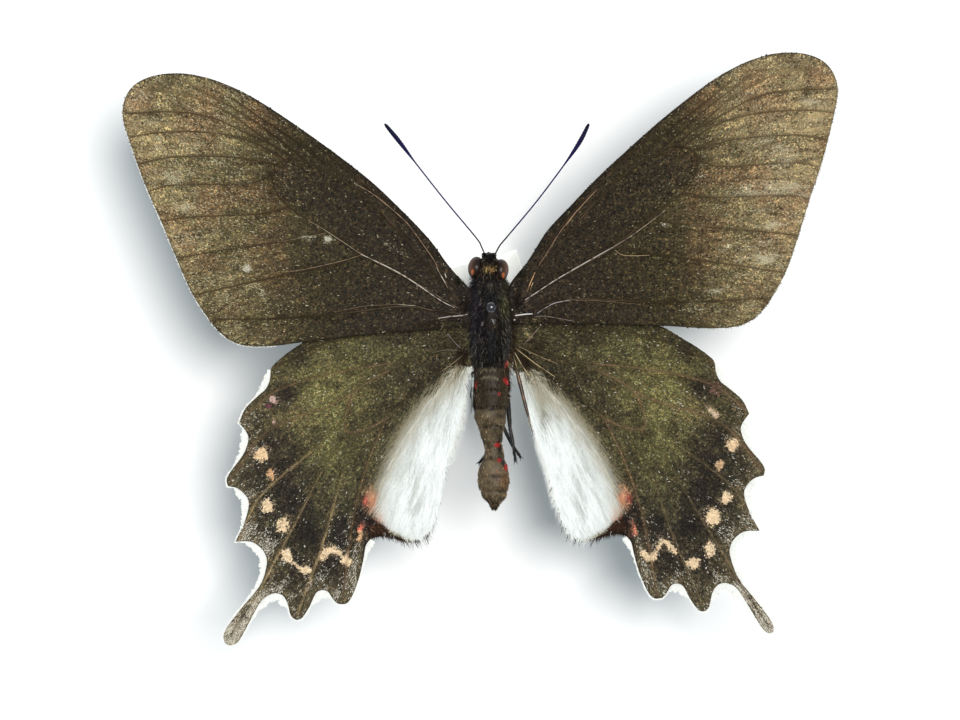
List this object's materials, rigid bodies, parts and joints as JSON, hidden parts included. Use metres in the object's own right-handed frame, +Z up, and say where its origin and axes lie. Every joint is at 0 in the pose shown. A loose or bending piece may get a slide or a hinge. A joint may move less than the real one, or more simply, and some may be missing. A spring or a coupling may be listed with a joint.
{
  "type": "pinned swallowtail butterfly specimen",
  "caption": "Set swallowtail butterfly with spread dark wings and short tails, held level on an insect pin over a small white foam block.",
  "frame": {"origin": "on the flat underside of the foam block, below the body's midline at the pin", "axes": "+Z up along the pin, +Y towards the head, +X towards the butterfly's own right wing tip, so the wing span lies along X"},
  "size_m": [0.08, 0.0665, 0.038],
  "materials": {
    "body_black": "matte",
    "abdomen_brown": "matte",
    "eye_brown": "gloss",
    "forewing_scales": "matte",
    "hindwing_scales": "matte",
    "pin_enamel": "gloss",
    "foam_white": "matte"
  },
  "bodies": {
    "root": {"head": "body_black", "collar": "body_black", "thorax": "body_black", "abdomen": "abdomen_brown", "eye_left": "eye_brown", "eye_right": "eye_brown", "antenna_left": "body_black", "antenna_right": "body_black", "palp_left": "body_black", "palp_right": "body_black", "tongue": "body_black", "forewing_left": "forewing_scales", "forewing_right": "forewing_scales", "hindwing_left": "hindwing_scales", "hindwing_right": "hindwing_scales", "leg_front_left": "body_black", "leg_front_right": "body_black", "leg_middle_left": "body_black", "leg_middle_right": "body_black", "leg_hind_left": "body_black", "leg_hind_right": "body_black", "mount_pin": "pin_enamel", "mount_block": "foam_white"}
  },
  "joints": []
}
